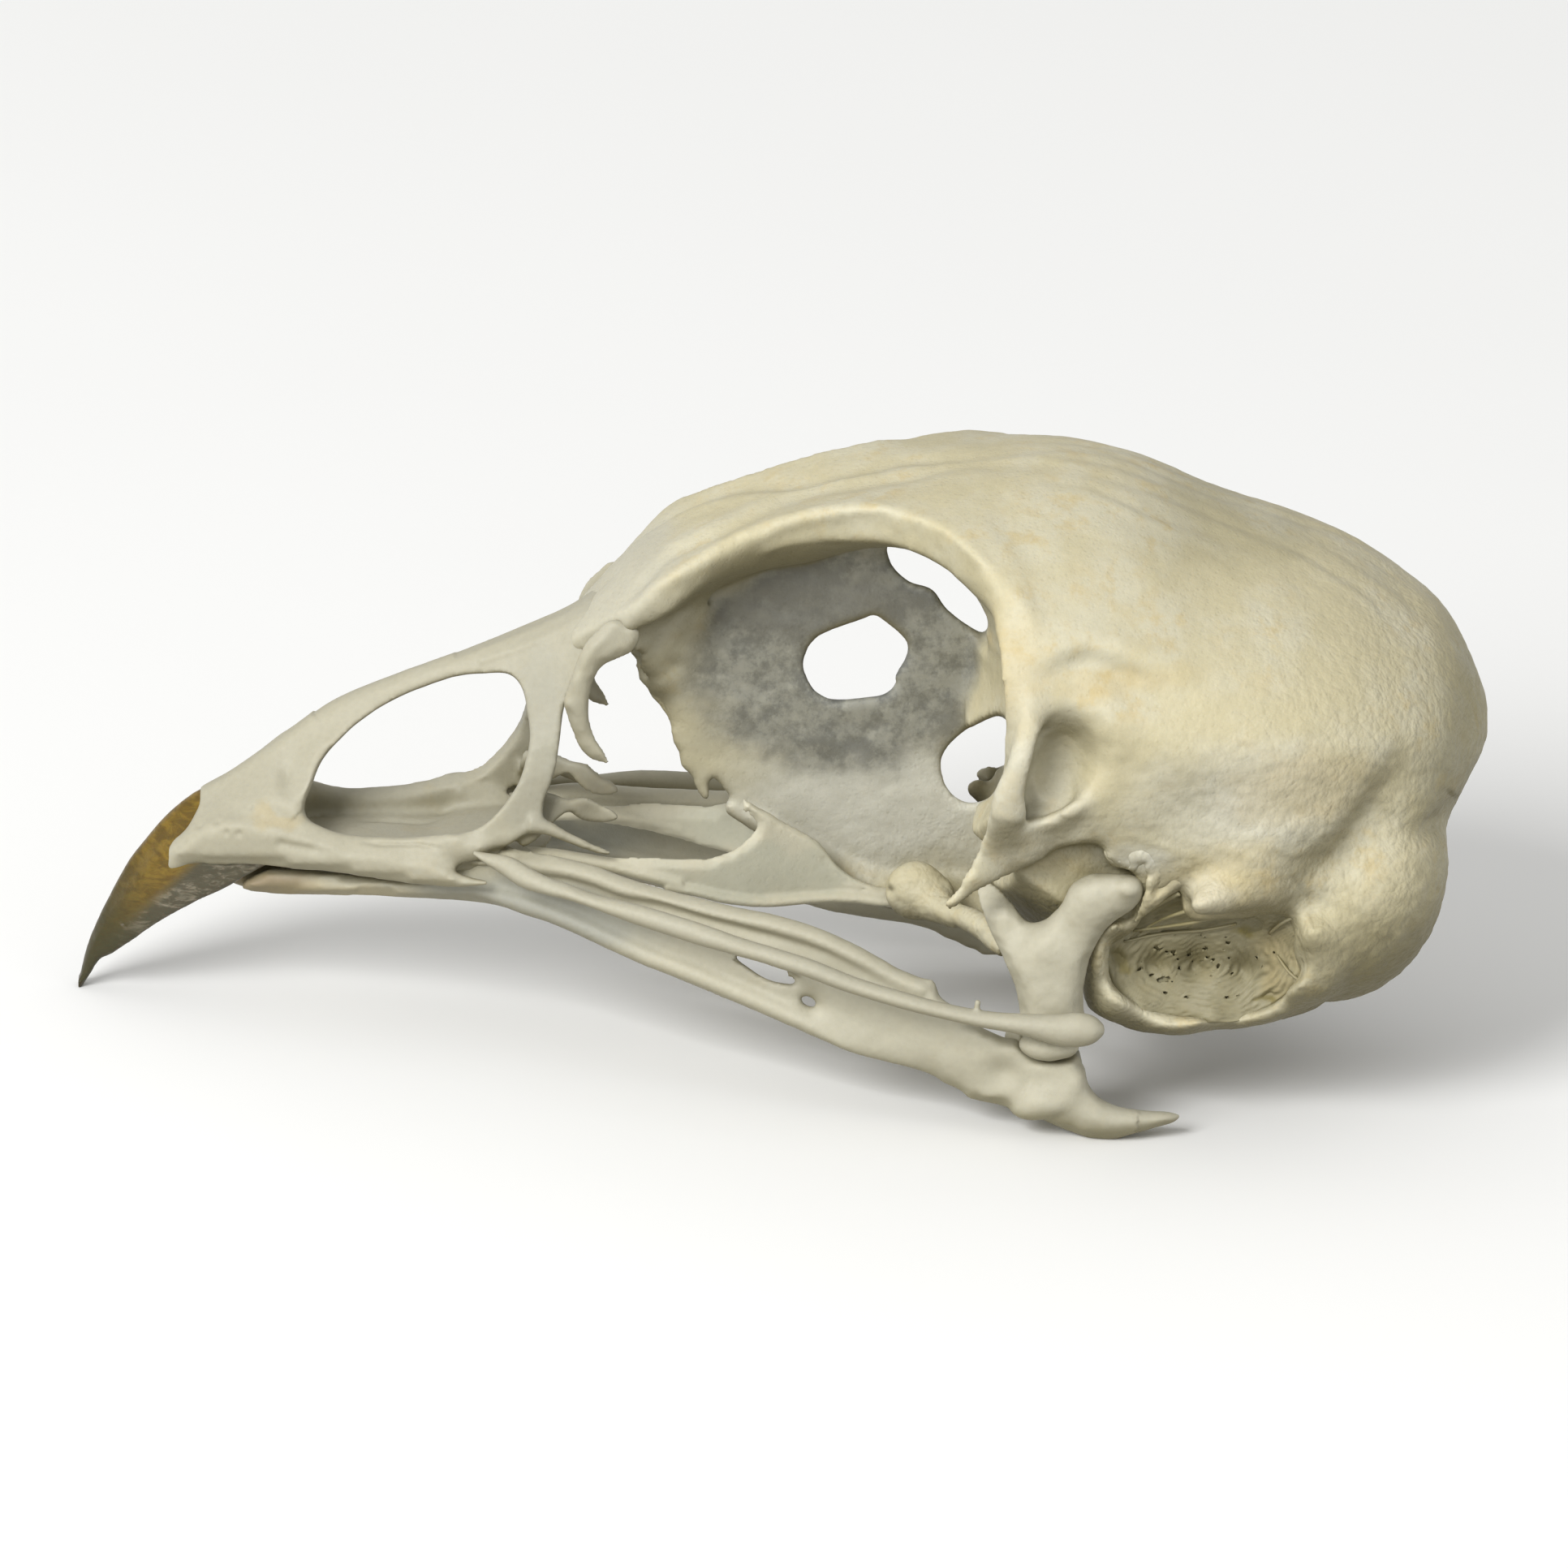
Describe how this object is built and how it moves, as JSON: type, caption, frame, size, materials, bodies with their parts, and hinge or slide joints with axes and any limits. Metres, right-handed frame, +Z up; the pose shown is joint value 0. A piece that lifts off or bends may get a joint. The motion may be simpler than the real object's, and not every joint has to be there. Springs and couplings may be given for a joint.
{
  "type": "quail skull",
  "caption": "Bleached skull of a common quail with its jaw and brown bill sheath, lying at rest on the bill tip and the jaw angles.",
  "frame": {"origin": "on the resting plane, under the centre of the skull's bounding box", "axes": "+Z up from the resting plane, -X towards the bill tip, -Y towards the skull's left side"},
  "size_m": [0.0394, 0.0166, 0.0182],
  "materials": {
    "bone_cream": "dry cream-yellow bone, satin",
    "bone_ivory": "dry ivory bone, satin",
    "bone_grey": "thin translucent grey bone, matte",
    "horn_brown": "brown horn, satin"
  },
  "bodies": {
    "root": {"cranium": "bone_cream", "interorbital_septum": "bone_grey", "upper_bill": "bone_ivory", "bill_sheath": "horn_brown", "mandible": "bone_ivory", "lacrimal_left": "bone_ivory", "lacrimal_right": "bone_ivory", "jugal_left": "bone_ivory", "jugal_right": "bone_ivory", "palatine_left": "bone_ivory", "palatine_right": "bone_ivory", "pterygoid_left": "bone_ivory", "pterygoid_right": "bone_ivory", "quadrate_left": "bone_ivory", "quadrate_right": "bone_ivory"}
  },
  "joints": []
}
